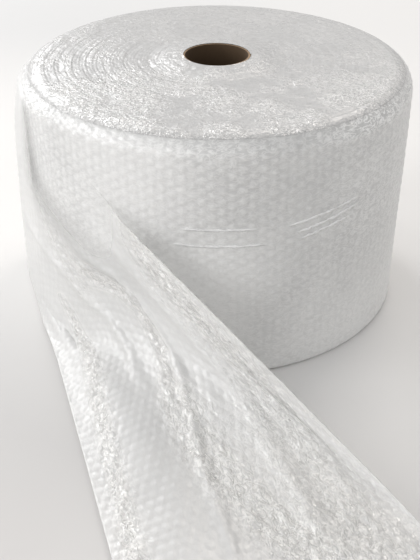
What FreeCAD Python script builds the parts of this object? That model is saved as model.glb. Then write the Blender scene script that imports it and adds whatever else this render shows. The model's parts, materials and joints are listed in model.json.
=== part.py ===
import FreeCAD, Part
import Sketcher
import math
import os
import sys

# Roll of small-bubble cushioning wrap, stood on its end, with its loose end drawn off to
# the floor. Millimetres, +Z up. The origin is on the roll's axis at floor level.
#
# Two pieces: the paper tube that the web is wound on, and the web itself, which is one
# continuous piece from its innermost turn to the cut end that lies on the floor.

SIZES = [
    ("core_bore", 76.2, "inner diameter of the paper tube, the three-inch size"),
    ("core_wall", 3.4, "wall of the spiral-wound paper tube"),
    ("core_length", 304, "the tube is cut a little longer than the web is wide"),
    ("core_ease", 0.8, "ease on the tube's cut ends"),
    ("wind_gap", 0.2, "clearance between the tube and the first turn"),
    ("web_width", 300, "width of the web, which is the height of the roll"),
    ("web_thickness", 4, "film and bubbles together"),
    ("roll_diameter", 471, "over the wound turns"),
    ("rim_round", 24, "rounding of the top end, where the outer turns slump"),
    ("foot_round", 5, "the same at the end that it stands on"),
    ("turn_step", 32, "radial step of the turns that part on both ends"),
    ("turn_slit", 1.6, "width of the slit between two of those turns"),
    ("slit_depth", 5, "how far the slit runs in from the end"),
    ("leave_angle", 197, "azimuth where the web leaves the roll, in degrees"),
    ("peel_back", 52, "degrees before that where the outer turn starts to slacken"),
    ("slack", 28, "most that the slack outer turn stands off at the floor"),
    ("tuck", 8, "how far its edges are tucked in where it starts"),
    ("lie_gap", 1.2, "clearance of the loose web where its edge hugs the roll"),
    ("line_gap", 7.5, "how far off the roll the lower edge's line on the floor runs"),
    ("edge_start", 25, "forward distance where the upper edge starts to fall"),
    ("landing", 499, "forward distance where the upper edge meets the floor"),
    ("landing_blend", 16, "softness of the bend where it does"),
    ("lying_length", 111, "what lies flat past the landing, up to the cut end"),
    ("fold_start", -60, "forward distance where the web starts to fold to the floor"),
    ("fold_full", 120, "forward distance where it is folded right over"),
    ("fold_share", 0.88, "how squarely it folds, up to 1"),
    ("ridge_height", 14, "height of the soft ridge in the lying part"),
    ("ridge_share", 0.62, "share of the lying part that the ridge spans"),
    ("ridge_start", 60, "forward distance where the ridge starts"),
    ("ridge_full", 260, "forward distance where it has its height"),
    ("crease_height", 6, "height of the long creases in the loose web"),
    ("crease_spread", 14, "half width of one"),
    ("high_crease_start", 178, "how far in from the lower edge the higher one starts"),
    ("high_crease_end", 95, "how far in it is at the cut end"),
    ("low_crease_start", 70, "how far in from the lower edge the lower one starts"),
    ("low_crease_end", 20, "how far in it is at the cut end"),
    ("crease_start", 60, "forward distance where both are fully raised"),
]

# The web's surface is drawn over a net of poles, so many in each direction.
FRONT_ROWS = 13
BACK_ROWS = 5
ROW_POLES = 13
FINE_STEPS = 60
DEGREE = 3

# The rounding of each end is a quarter circle in so many short flats.
RIM_FACETS = 3
FOOT_FACETS = 1
RIGHT_ANGLE = 90

PLACE_TOLERANCE = 0.01


def add_sheet(doc):
    """The spreadsheet with every driving size, one named cell each."""
    sheet = doc.addObject("Spreadsheet::Sheet", "sizes")
    for row, (alias, value, meaning) in enumerate(SIZES, start=1):
        sheet.set(f"A{row}", alias)
        sheet.set(f"B{row}", str(value))
        sheet.set(f"C{row}", meaning)
        sheet.setAlias(f"B{row}", alias)
    doc.recompute()
    return sheet


def add_ring(body, name, inner, outer):
    """A sketch of two circles on the axis, their radii bound to expressions."""
    sketch = body.newObject("Sketcher::SketchObject", name)
    plane = next(item for item in body.Origin.OriginFeatures if item.Role == "XY_Plane")
    sketch.AttachmentSupport = [(plane, "")]
    sketch.MapMode = "FlatFace"
    start_radius = 50
    for expression in (inner, outer):
        circle = Part.Circle(FreeCAD.Vector(0, 0, 0), FreeCAD.Vector(0, 0, 1), start_radius)
        number = sketch.addGeometry(circle)
        sketch.addConstraint(Sketcher.Constraint("Coincident", number, 3, -1, 1))
        radius = sketch.addConstraint(Sketcher.Constraint("Radius", number, start_radius))
        sketch.setExpression(f"Constraints[{radius}]", expression)
    return sketch


def end_edges(shape, radius, height):
    """Names of the full circles of one radius at the shape's two ends."""
    found = []
    for number, edge in enumerate(shape.Edges, start=1):
        curve = edge.Curve
        if not isinstance(curve, Part.Circle) or abs(curve.Radius - radius) > PLACE_TOLERANCE:
            continue
        if min(abs(curve.Center.z), abs(curve.Center.z - height)) < PLACE_TOLERANCE:
            found.append(f"Edge{number}")
    return found


def build_core(doc, sheet):
    """The paper tube: a padded ring whose cut ends are slightly eased."""
    body = doc.addObject("PartDesign::Body", "cardboard_core")
    inner = "sizes.core_bore / 2"
    ring = add_ring(body, "tube_section", inner, f"{inner} + sizes.core_wall")
    tube = body.newObject("PartDesign::Pad", "tube")
    tube.Profile = ring
    tube.setExpression("Length", "sizes.core_length")
    doc.recompute()
    ends = body.newObject("PartDesign::Chamfer", "eased_ends")
    outside = sheet.core_bore / 2 + sheet.core_wall
    ends.Base = (tube, end_edges(tube.Shape, outside, sheet.core_length))
    ends.setExpression("Size", "sizes.core_ease")
    return body


def add_section(body, name, corners):
    """A closed sketch of straight sides in the XZ plane, each corner bound to expressions."""
    sketch = body.newObject("Sketcher::SketchObject", name)
    plane = next(item for item in body.Origin.OriginFeatures if item.Role == "XZ_Plane")
    sketch.AttachmentSupport = [(plane, "")]
    sketch.MapMode = "FlatFace"
    turns = [2 * math.pi * number / len(corners) for number in range(len(corners))]
    rough = [FreeCAD.Vector(2 + math.cos(turn), 2 + math.sin(turn), 0) for turn in turns]
    for start, end in zip(rough, rough[1:] + rough[:1]):
        sketch.addGeometry(Part.LineSegment(start, end))
    for number, (across, up) in enumerate(corners):
        before = (number - 1) % len(corners)
        sketch.addConstraint(Sketcher.Constraint("Coincident", before, 2, number, 1))
        side = sketch.addConstraint(Sketcher.Constraint("DistanceX", -1, 1, number, 1, rough[number].x))
        sketch.setExpression(f"Constraints[{side}]", across)
        lift = sketch.addConstraint(Sketcher.Constraint("DistanceY", -1, 1, number, 1, rough[number].y))
        sketch.setExpression(f"Constraints[{lift}]", up)
    return sketch


def rounding(name, facets, end, side):
    """Corners of a quarter circle in short flats, from the outside to an end."""
    corners = []
    for step in range(facets + 1):
        turn = RIGHT_ANGLE * step / facets
        across = f"sizes.roll_diameter / 2 - sizes.{name} * (1 - cos({turn} deg))"
        corners.append((across, f"{end} {side} sizes.{name} * (1 - sin({turn} deg))"))
    return corners


def build_pack(doc):
    """The wound turns as one ring, rounded over at its ends."""
    body = doc.addObject("PartDesign::Body", "wound_pack")
    inner = "sizes.core_bore / 2 + sizes.core_wall + sizes.wind_gap"
    foot = rounding("foot_round", FOOT_FACETS, "0", "+")
    rim = rounding("rim_round", RIM_FACETS, "sizes.web_width", "-")
    corners = [(inner, "0 mm")] + foot[::-1] + rim + [(inner, "sizes.web_width")]
    turns = body.newObject("PartDesign::Revolution", "turns")
    turns.Profile = add_section(body, "pack_section", corners)
    turns.ReferenceAxis = (turns.Profile[0], ["V_Axis"])
    turns.Angle = 360
    return body


def half_circle(radius, centre, start):
    """Half a circle about a centre on the X axis."""
    middle = FreeCAD.Vector(centre, 0, 0)
    return Part.Circle(middle, FreeCAD.Vector(0, 0, 1), radius).toShape(start, start + math.pi)


def spiral_strip(first, last, step, width):
    """A thin flat strip that winds outwards.

    It is made of half circles. Their centres change sides by half a step each time, so
    each half circle runs on smoothly from the one before.
    """
    inner_arcs = []
    outer_arcs = []
    radius = first
    while radius + step / 2 < last:
        even = len(inner_arcs) % 2 == 0
        centre = -step / 4 if even else step / 4
        start = 0 if even else math.pi
        inner_arcs.append(half_circle(radius - width / 2, centre, start))
        outer_arcs.append(half_circle(radius + width / 2, centre, start))
        radius += step / 2
    begin = Part.makeLine(inner_arcs[0].firstVertex(True).Point, outer_arcs[0].firstVertex(True).Point)
    end = Part.makeLine(inner_arcs[-1].lastVertex(True).Point, outer_arcs[-1].lastVertex(True).Point)
    edges = Part.sortEdges(inner_arcs + outer_arcs + [begin, end])[0]
    return Part.Face(Part.Wire(edges))


def build_slit(doc, sheet):
    """The winding slit that parts the turns on both ends."""
    bore = sheet.core_bore / 2 + sheet.core_wall + sheet.wind_gap
    last = sheet.roll_diameter / 2 - sheet.rim_round - sheet.turn_slit
    strip = spiral_strip(bore + sheet.turn_step / 2, last, sheet.turn_step, sheet.turn_slit)
    strip.translate(FreeCAD.Vector(0, 0, -sheet.slit_depth))
    lower = strip.extrude(FreeCAD.Vector(0, 0, 2 * sheet.slit_depth))
    upper = lower.translated(FreeCAD.Vector(0, 0, sheet.web_width))
    slit = doc.addObject("Part::Feature", "turn_slit")
    slit.Shape = Part.makeCompound([lower, upper])
    return slit


def smooth_step(value, low, high):
    """0 at low, 1 at high, and a smooth rise between."""
    share = min(1.0, max(0.0, (value - low) / (high - low)))
    return share * share * (3 - 2 * share)


def soft_min(value, limit, blend):
    """The lower of two values, rounded over where they cross."""
    return (value + limit - math.hypot(value - limit, blend)) / 2


def mix(low, high, share):
    """The value at a share of the way from one value to another."""
    return low + (high - low) * share


class LooseEnd:
    """Where the underside of the loose web runs, from the roll to its cut end.

    It is described by rows across the web. Behind the leaving point a row stands upright
    at an angle round the roll. Past it, a row is square to the line on the floor that the
    web's lower edge follows, at a forward distance along that line.
    """

    def __init__(self, sheet):
        self.size = sheet
        self.radius = sheet.roll_diameter / 2
        self.line = self.radius + sheet.line_gap
        self.length = sheet.landing + sheet.lying_length
        self.leave = math.radians(sheet.leave_angle)
        self.across = FreeCAD.Vector(-math.cos(self.leave), -math.sin(self.leave), 0)
        self.forward = FreeCAD.Vector(self.across.y, -self.across.x, 0)
        # A net of poles lies a little outside the curve that it draws.
        spacing = self.length / FRONT_ROWS
        self.hug = self.radius + sheet.lie_gap + spacing ** 2 / (6 * self.radius)
        # The upper edge is drawn tight: it hugs the roll, then takes the tangent to the
        # point where it lands, and its fall is even all the way.
        side = sheet.web_width - self.line
        distance = math.hypot(sheet.landing, side)
        self.wrap = math.atan2(side, sheet.landing) + math.asin(self.hug / distance)
        self.run_off = self.hug * math.sin(self.wrap)
        self.edge_length = self.edge_distance(sheet.landing) - sheet.edge_start

    def edge_distance(self, run):
        """Distance along the upper edge's path, seen from above, up to a forward run."""
        if run < self.run_off:
            return self.hug * math.asin(run / self.hug)
        return self.hug * self.wrap + (run - self.run_off) / math.cos(self.wrap)

    def upper_edge(self, run):
        """Distance from the floor line, and height, of the upper edge at a forward run."""
        size = self.size
        if run < self.run_off:
            offset = self.line - math.sqrt(self.hug ** 2 - run ** 2)
        else:
            offset = self.line - self.hug * math.cos(self.wrap)
            offset += (run - self.run_off) * math.tan(self.wrap)
        fallen = (self.edge_distance(run) - size.edge_start) / self.edge_length
        height = soft_min(size.web_width * (1 - fallen), size.web_width, size.landing_blend)
        offset = soft_min(offset, size.web_width, size.landing_blend)
        return offset, -soft_min(-height, 0, size.landing_blend)

    def front_point(self, run, share):
        """A point of the web past the leaving point, at a share of the way up its row."""
        size = self.size
        offset, height = self.upper_edge(run)
        folded = smooth_step(run, size.fold_start, size.fold_full)
        corner = (offset * folded, height * (1 - folded))
        poles = [(0, 0)]
        poles.append((corner[0] * size.fold_share, corner[1] * size.fold_share))
        poles.append((mix(offset, corner[0], size.fold_share), mix(height, corner[1], size.fold_share)))
        poles.append((offset, height))
        weights = [math.comb(3, n) * share ** n * (1 - share) ** (3 - n) for n in range(4)]
        side = sum(weight * pole[0] for weight, pole in zip(weights, poles))
        lift = sum(weight * pole[1] for weight, pole in zip(weights, poles))
        crest = math.sin(math.pi * min(1.0, side / offset / size.ridge_share)) ** 2
        rising = smooth_step(run, size.ridge_start, size.ridge_full)
        fading = 1 - smooth_step(run, size.ridge_full, self.length)
        lift += size.ridge_height * crest * rising * fading
        lift += self.crease(run, share, size.high_crease_start, size.high_crease_end)
        lift += self.crease(run, share, size.low_crease_start, size.low_crease_end)
        place = self.forward * run + self.across * (side - self.line)
        return self.slumped(FreeCAD.Vector(place.x, place.y, lift))

    def crease(self, run, share, start, end):
        """How far a long crease lifts the web there."""
        size = self.size
        middle = mix(start, end, run / self.length)
        raised = smooth_step(run, 0, size.crease_start)
        return size.crease_height * raised * math.exp(-((share * size.web_width - middle) / size.crease_spread) ** 2)

    def slumped(self, point):
        """The point drawn in over the rounding of the top end, where it is that high."""
        size = self.size
        rise = min(size.rim_round, point.z - size.web_width + size.rim_round)
        if rise <= 0:
            return point
        drawn_in = size.rim_round - math.sqrt(size.rim_round ** 2 - rise ** 2)
        reach = math.hypot(point.x, point.y)
        keep = (reach - drawn_in) / reach
        lowered = size.web_thickness * rise / size.rim_round
        return FreeCAD.Vector(point.x * keep, point.y * keep, point.z - lowered)

    def back_point(self, turn, share):
        """A point of the slack outer turn, at an angle before the leaving point."""
        size = self.size
        begin = -math.radians(size.peel_back)
        loose = smooth_step(turn, begin, begin / 3)
        line_distance = self.line / math.cos(turn) - self.radius
        stand_off = min(line_distance, size.slack) * loose
        buried = 2 * size.web_thickness * (1 - smooth_step(turn, begin, begin * 4 / 5))
        bow = max(0, stand_off - size.lie_gap) * (1 - share ** 3)
        reach = self.hug - buried + bow
        tuck = size.tuck * (1 - loose)
        angle = self.leave + turn
        height = mix(tuck, size.web_width - tuck, share)
        return self.slumped(FreeCAD.Vector(reach * math.cos(angle), reach * math.sin(angle), height))

    def rows(self):
        """The net of poles, from where the web is wound in to its cut end."""
        shares = [number / FINE_STEPS for number in range(FINE_STEPS + 1)]
        begin = -math.radians(self.size.peel_back)
        turns = [begin * (1 - number / BACK_ROWS) for number in range(BACK_ROWS)]
        runs = [self.length * number / FRONT_ROWS for number in range(FRONT_ROWS + 1)]
        rows = [[self.back_point(turn, share) for share in shares] for turn in turns]
        rows += [[self.front_point(run, share) for share in shares] for run in runs]
        return [even_row(row) for row in rows]


def even_row(points):
    """The same line, cut into poles at equal distances along it."""
    line = Part.BSplineCurve()
    line.interpolate(points)
    return [FreeCAD.Vector(spot) for spot in line.discretize(Number=ROW_POLES)]


def upper_side(rows, thickness):
    """The net moved square off itself by the web's thickness."""
    moved = []
    for number, row in enumerate(rows):
        ahead = rows[min(number + 1, len(rows) - 1)]
        behind = rows[max(number - 1, 0)]
        line = []
        for place, point in enumerate(row):
            along = ahead[place] - behind[place]
            across = row[min(place + 1, len(row) - 1)] - row[max(place - 1, 0)]
            line.append(point + along.cross(across).normalize() * thickness)
        moved.append(line)
    return moved


def strip_between(first, second):
    """A face that is smooth along two lines of poles and straight from one to the other."""
    spans = len(first) - DEGREE
    knots = [number / spans for number in range(spans + 1)]
    repeats = [DEGREE + 1] + [1] * (spans - 1) + [DEGREE + 1]
    surface = Part.BSplineSurface()
    surface.buildFromPolesMultsKnots([list(pair) for pair in zip(first, second)], repeats, [2, 2],
                                     knots, [0, 1], False, False, DEGREE, 1)
    return surface.toShape()


def end_faces(under, over):
    """The faces that close the sheet across one end."""
    faces = []
    for place in range(len(under) - 1):
        corners = [under[place], under[place + 1], over[place + 1], over[place]]
        low = Part.makeLine(corners[0], corners[1])
        high = Part.makeLine(corners[3], corners[2])
        faces.append(Part.makeRuledSurface(low, high))
    return faces


def build_loose_end(doc, sheet):
    """The loose web as a closed sheet of even thickness, in long lightly creased strips."""
    under = LooseEnd(sheet).rows()
    over = upper_side(under, sheet.web_thickness)
    loops = [low + high[::-1] for low, high in zip(under, over)]
    lines = list(zip(*loops))
    faces = [strip_between(first, second) for first, second in zip(lines, lines[1:] + lines[:1])]
    faces += end_faces(under[0], over[0]) + end_faces(under[-1], over[-1])
    hull = Part.makeCompound(faces)
    hull.sewShape()
    solid = Part.makeSolid(Part.makeShell(hull.Faces))
    if solid.Volume < 0:
        solid.reverse()
    loose_end = doc.addObject("Part::Feature", "loose_end")
    loose_end.Shape = solid
    return loose_end


def build_film(doc, sheet):
    """The web: its wound turns, parted on the top end, and the loose end that they run into."""
    parted = doc.addObject("Part::Cut", "parted_turns")
    parted.Base = build_pack(doc)
    parted.Tool = build_slit(doc, sheet)
    film = doc.addObject("Part::Fuse", "bubble_wrap")
    film.Base = parted
    film.Tool = build_loose_end(doc, sheet)
    return film


def check(doc, pieces):
    """Stop if anything in the document failed or a piece is not one sound solid."""
    for item in doc.Objects:
        if "Invalid" in item.State or "Error" in item.State:
            sys.exit(f"{item.Name} failed: {item.State}")
    for piece in pieces:
        shape = piece.Shape
        if shape.isNull() or not shape.isValid() or len(shape.Solids) != 1:
            sys.exit(f"{piece.Label} is not one sound solid")
        print(f"{piece.Label}: {shape.Volume / 1000:.1f} cm3, {len(shape.Faces)} faces")


def main():
    doc = FreeCAD.newDocument("bubble_wrap_roll")
    sheet = add_sheet(doc)
    pieces = [build_core(doc, sheet), build_film(doc, sheet)]
    doc.recompute()
    check(doc, pieces)
    os.makedirs("parts", exist_ok=True)
    for piece in pieces:
        piece.Shape.exportStep(f"parts/{piece.Label}.step")


main()
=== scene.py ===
"""Dresses a roll of small-bubble cushioning wrap that stands on its end.

Metres, +Z up, the origin on the roll's axis at floor level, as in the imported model.
"""

import json
import logging
import math
from dataclasses import dataclass, field
from enum import Enum
from typing import Any

import bpy
import numpy as np
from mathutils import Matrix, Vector

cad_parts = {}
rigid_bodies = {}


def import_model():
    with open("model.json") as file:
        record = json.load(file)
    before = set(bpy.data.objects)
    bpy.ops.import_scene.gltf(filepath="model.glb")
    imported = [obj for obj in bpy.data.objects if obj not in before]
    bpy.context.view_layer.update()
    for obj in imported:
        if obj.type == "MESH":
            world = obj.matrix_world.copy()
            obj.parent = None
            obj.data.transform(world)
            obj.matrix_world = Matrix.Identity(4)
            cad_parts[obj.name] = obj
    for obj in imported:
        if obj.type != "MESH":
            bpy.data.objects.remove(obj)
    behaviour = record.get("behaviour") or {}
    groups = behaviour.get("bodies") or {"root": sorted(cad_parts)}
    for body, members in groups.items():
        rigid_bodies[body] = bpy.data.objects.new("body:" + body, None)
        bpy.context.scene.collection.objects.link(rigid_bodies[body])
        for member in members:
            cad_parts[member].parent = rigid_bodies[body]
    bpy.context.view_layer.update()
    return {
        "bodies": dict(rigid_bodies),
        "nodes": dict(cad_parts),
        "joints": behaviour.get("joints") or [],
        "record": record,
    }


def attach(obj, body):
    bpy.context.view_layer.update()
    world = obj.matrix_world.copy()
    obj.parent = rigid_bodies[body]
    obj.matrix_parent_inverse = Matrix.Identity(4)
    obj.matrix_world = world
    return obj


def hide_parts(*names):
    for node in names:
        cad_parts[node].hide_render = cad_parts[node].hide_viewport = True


log = logging.getLogger("bubble_wrap_roll")

Array = np.ndarray


@dataclass(frozen=True)
class Wire:
    """A socket in a node tree, on which plain arithmetic adds Math nodes."""

    shader: "Shader"
    socket: Any

    def _math(self, operation: str, first: Any, second: Any) -> "Wire":
        """Add one Math node.

        Args:
            operation: the Math node's operation.
            first: its first value, a number or a wire.
            second: its second value, a number or a wire.

        Returns:
            The wire that carries its result.
        """
        return self.shader.node("ShaderNodeMath", {"operation": operation}, {0: first, 1: second})

    def __add__(self, other: Any) -> "Wire":
        """Self plus other."""
        return self._math("ADD", self, other)

    def __radd__(self, other: Any) -> "Wire":
        """Other plus self."""
        return self._math("ADD", other, self)

    def __sub__(self, other: Any) -> "Wire":
        """Self minus other."""
        return self._math("SUBTRACT", self, other)

    def __rsub__(self, other: Any) -> "Wire":
        """Other minus self."""
        return self._math("SUBTRACT", other, self)

    def __mul__(self, other: Any) -> "Wire":
        """Self times other."""
        return self._math("MULTIPLY", self, other)

    def __rmul__(self, other: Any) -> "Wire":
        """Other times self."""
        return self._math("MULTIPLY", other, self)

    def __truediv__(self, other: Any) -> "Wire":
        """Self over other."""
        return self._math("DIVIDE", self, other)

    def __rtruediv__(self, other: Any) -> "Wire":
        """Other over self."""
        return self._math("DIVIDE", other, self)

    def __pow__(self, other: Any) -> "Wire":
        """Self to a power."""
        return self._math("POWER", self, other)

    def __rpow__(self, other: Any) -> "Wire":
        """Other to the power of self."""
        return self._math("POWER", other, self)

    def __abs__(self) -> "Wire":
        """Self without its sign."""
        return self._math("ABSOLUTE", self, 0.0)

    def past_whole(self) -> "Wire":
        """What is left of self past the last whole number."""
        return self._math("FRACT", self, 0.0)

    def least(self, other: Any) -> "Wire":
        """The lower of self and other."""
        return self._math("MINIMUM", self, other)

    def ramp(self, low: float, high: float) -> "Wire":
        """A smooth rise of this value.

        Args:
            low: where the rise starts, and gives 0.
            high: where it ends, and gives 1.

        Returns:
            The wire that carries the share.
        """
        settings = {"interpolation_type": "SMOOTHSTEP"}
        values = {"Value": self, "From Min": low, "From Max": high}
        return self.shader.node("ShaderNodeMapRange", settings, values)

    def band(self, start: float, full: float, end: float, gone: float) -> "Wire":
        """A smooth rise of this value that falls off again.

        Args:
            start: where the rise starts.
            full: where it gives 1.
            end: where the fall starts.
            gone: where it gives 0 again.

        Returns:
            The wire that carries the share.
        """
        return self.ramp(start, full) * (1.0 - self.ramp(end, gone))


class Shader:
    """A material under construction."""

    def __init__(self, name: str) -> None:
        """Start an empty material.

        Args:
            name: the material's name.
        """
        self.material = bpy.data.materials.new(name)
        self.material.use_nodes = True
        self.tree = self.material.node_tree
        self.tree.nodes.clear()

    def node(self, kind: str, settings: dict[str, Any] | None = None, inputs: dict[Any, Any] | None = None,
             out: Any = 0) -> Wire:
        """Add a node of any type.

        Args:
            kind: the node's type.
            settings: its properties, which are set first.
            inputs: values or wires for its sockets, by name or number.
            out: which output to return, by name or number.

        Returns:
            The wire on that output.
        """
        made = self.tree.nodes.new(kind)
        for key, value in (settings or {}).items():
            setattr(made, key, value)
        for key, value in (inputs or {}).items():
            if isinstance(value, Wire):
                self.tree.links.new(value.socket, made.inputs[key])
            else:
                made.inputs[key].default_value = value
        return Wire(self, made.outputs[out])

    def mix(self, share: Any, first: Any, second: Any) -> Wire:
        """Mix two colours.

        Args:
            share: how much of the second colour, a number or a wire.
            first: the first colour, a colour or a wire.
            second: the second colour, a colour or a wire.

        Returns:
            The wire that carries the mixed colour.
        """
        return self.node("ShaderNodeMix", {"data_type": "RGBA"}, {0: share, 6: first, 7: second}, 2)

    def place(self) -> Wire:
        """The place on the piece, in metres."""
        return self.node("ShaderNodeTexCoord", {}, {}, "Object")

    def axis(self, place: Wire, letter: str) -> Wire:
        """One coordinate of a place, by its capital letter."""
        return self.node("ShaderNodeSeparateXYZ", {}, {"Vector": place}, letter)

    def mark(self, name: str) -> Wire:
        """The number that each corner of the piece keeps under a name."""
        return self.node("ShaderNodeAttribute", {"attribute_name": name}, {}, "Fac")

    def noise(self, place: Wire, scale: float, detail: float, distortion: float = 0.0) -> Wire:
        """Add a noise pattern.

        Args:
            place: where the pattern is read.
            scale: how many lumps it has in a metre.
            detail: how many finer layers it has.
            distortion: how much it is stirred.

        Returns:
            The wire that carries its value, about 0.5 on average.
        """
        values = {"Vector": place, "Scale": scale, "Detail": detail, "Distortion": distortion}
        return self.node("ShaderNodeTexNoise", {}, values, "Fac")

    def bump(self, height: Wire, distance: float, strength: float = 1.0) -> Wire:
        """Add a bump.

        Args:
            height: the relief.
            distance: how high a relief of 1 stands.
            strength: how much of it shows.

        Returns:
            The wire that carries the bent normal.
        """
        values = {"Strength": strength, "Distance": distance, "Height": height}
        return self.node("ShaderNodeBump", {}, values)

    def finish(self, surface: Wire) -> bpy.types.Material:
        """Wire the surface to the output.

        Args:
            surface: the shader that the material shows.

        Returns:
            The finished material.
        """
        output = self.tree.nodes.new("ShaderNodeOutputMaterial")
        self.tree.links.new(surface.socket, output.inputs["Surface"])
        return self.material


def rgba(red: float, green: float, blue: float) -> tuple[float, float, float, float]:
    """A full colour for a socket, from its three parts."""
    return (red, green, blue, 1.0)


@dataclass(frozen=True)
class FloorFinish:
    """Pale paper, with painted shade at the front left and far back, and painted light beside the lying web
    over its shadow.

    Attributes:
        name: the material's name.
        light: colour of the paper.
        near: colour of the painted shade at the front left.
        far: colour of the painted shade at the far back.
        beside: colour of the painted light beside the lying web, over its shadow.
        front_shade_depth: places along Y between which the painted shade at the front ends.
        front_shade_side: places along X between which it ends.
        back_shade_depth: places along Y between which the painted shade at the back starts.
        back_shade_side: places along X between which it weakens.
        back_shade_loss: how much of it goes there.
        painted_pool_depth: places along Y where the painted light beside the web starts, is full, ends and is
            gone.
        painted_pool_side: the same along X.
        painted_pool_share: how much of that painted light shows.
    """

    name: str
    light: tuple[float, float, float] = (0.76, 0.75, 0.74)
    near: tuple[float, float, float] = (0.63, 0.615, 0.605)
    far: tuple[float, float, float] = (0.61, 0.61, 0.61)
    beside: tuple[float, float, float] = (0.90, 0.89, 0.88)
    front_shade_depth: tuple[float, float] = (-0.45, 0.05)
    front_shade_side: tuple[float, float] = (-0.20, 0.15)
    back_shade_depth: tuple[float, float] = (0.40, 1.10)
    back_shade_side: tuple[float, float] = (-0.40, 0.60)
    back_shade_loss: float = 0.6
    painted_pool_depth: tuple[float, float, float, float] = (-0.50, -0.30, -0.26, -0.12)
    painted_pool_side: tuple[float, float, float, float] = (0.04, 0.14, 0.17, 0.30)
    painted_pool_share: float = 0.7

    def make(self) -> bpy.types.Material:
        """Build the material.

        Returns:
            The finished material.
        """
        shader = Shader(self.name)
        place = shader.place()
        side, depth = shader.axis(place, "X"), shader.axis(place, "Y")
        # Painted shade at the front left and at the far back, and painted light beside the lying web, over
        # its shadow.
        near = (1.0 - depth.ramp(*self.front_shade_depth)) * (1.0 - side.ramp(*self.front_shade_side))
        far = depth.ramp(*self.back_shade_depth) * (1.0 - side.ramp(*self.back_shade_side) * self.back_shade_loss)
        beside = side.band(*self.painted_pool_side) * depth.band(*self.painted_pool_depth)
        colour = shader.mix(near, rgba(*self.light), rgba(*self.near))
        colour = shader.mix(beside * self.painted_pool_share, colour, rgba(*self.beside))
        colour = shader.mix(far, colour, rgba(*self.far))
        values = {"Base Color": colour, "Roughness": 0.9}
        return shader.finish(shader.node("ShaderNodeBsdfPrincipled", {}, values))


@dataclass(frozen=True)
class Lamp:
    """A square soft lamp that faces the roll.

    Attributes:
        name: the lamp's name.
        place: where it hangs.
        size: length of its sides.
        watts: its power.
        tint: colour of its light.
        aim: the point that it faces.
    """

    name: str
    place: tuple[float, float, float]
    size: float
    watts: float
    tint: tuple[float, float, float] = (1.0, 1.0, 1.0)
    aim: tuple[float, float, float] = (-0.02, -0.15, 0.12)

    def hang(self) -> None:
        """Add the lamp."""
        light = bpy.data.lights.new(self.name, "AREA")
        light.size = self.size
        light.energy = self.watts
        light.color = self.tint
        holder = bpy.data.objects.new(self.name, light)
        holder.location = self.place
        towards = Vector(self.aim) - Vector(self.place)
        holder.rotation_euler = towards.to_track_quat("-Z", "Y").to_euler()
        bpy.context.collection.objects.link(holder)


@dataclass(frozen=True)
class Studio:
    """Pale floor, soft lamps and the camera.

    Attributes:
        eye: where the camera stands.
        tilt: its angle from straight down, in degrees.
        lens: its focal length, in millimetres.
        floor_side: length of the floor's sides.
        floor_level: height of the floor, just below the roll.
        sky_light: strength of the even light from all round.
        lamps: the soft lamps.
    """

    eye: tuple[float, float, float] = (-0.0080, -1.0833, 0.6831)
    tilt: float = 57.0
    lens: float = 59.4
    floor_side: float = 12.0
    floor_level: float = -0.0006
    sky_light: float = 0.60
    lamps: tuple[Lamp, ...] = (
        Lamp("back_panel", (-1.7, 3.6, 2.3), 1.4, 40.0),
        Lamp("ridge_panel", (-1.3, 2.3, 2.3), 0.9, 16.0),
        Lamp("low_back_panel", (-3.3, 2.1, 1.1), 1.2, 34.0),
        Lamp("left_panel", (-3.6, -0.6, 1.3), 1.4, 44.0),
        Lamp("front_panel", (0.7, 1.3, 2.31), 1.0, 18.0, (1.0, 0.94, 0.88)),
        Lamp("left_fill", (-2.4, -2.6, 1.2), 2.0, 25.0),
        Lamp("right_fill", (1.2, -3.2, 1.7), 2.0, 6.0),
        Lamp("low_front_panel", (-0.4, -3.0, 0.45), 1.4, 5.0),
    )

    def camera(self) -> None:
        """Add the camera at the viewing angle."""
        view = bpy.data.cameras.new("camera")
        view.lens = self.lens
        holder = bpy.data.objects.new("camera", view)
        holder.location = self.eye
        holder.rotation_euler = (math.radians(self.tilt), 0.0, 0.0)
        bpy.context.collection.objects.link(holder)
        bpy.context.scene.camera = holder

    def floor(self) -> None:
        """Add the pale floor."""
        bpy.ops.object.select_all(action="DESELECT")
        place = (0.0, 0.0, self.floor_level)
        bpy.ops.mesh.primitive_plane_add(size=self.floor_side, location=place)
        ground = bpy.context.object
        ground.name = "floor"
        ground.data.materials.append(FloorFinish("pale_floor").make())

    def sky(self) -> None:
        """Set the even light from all round."""
        world = bpy.data.worlds.new("soft_room")
        bpy.context.scene.world = world
        world.use_nodes = True
        background = world.node_tree.nodes["Background"]
        background.inputs["Color"].default_value = rgba(1.0, 1.0, 1.0)
        background.inputs["Strength"].default_value = self.sky_light

    def build(self) -> None:
        """Build all of it."""
        self.floor()
        self.sky()
        self.camera()
        for lamp in self.lamps:
            lamp.hang()


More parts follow.
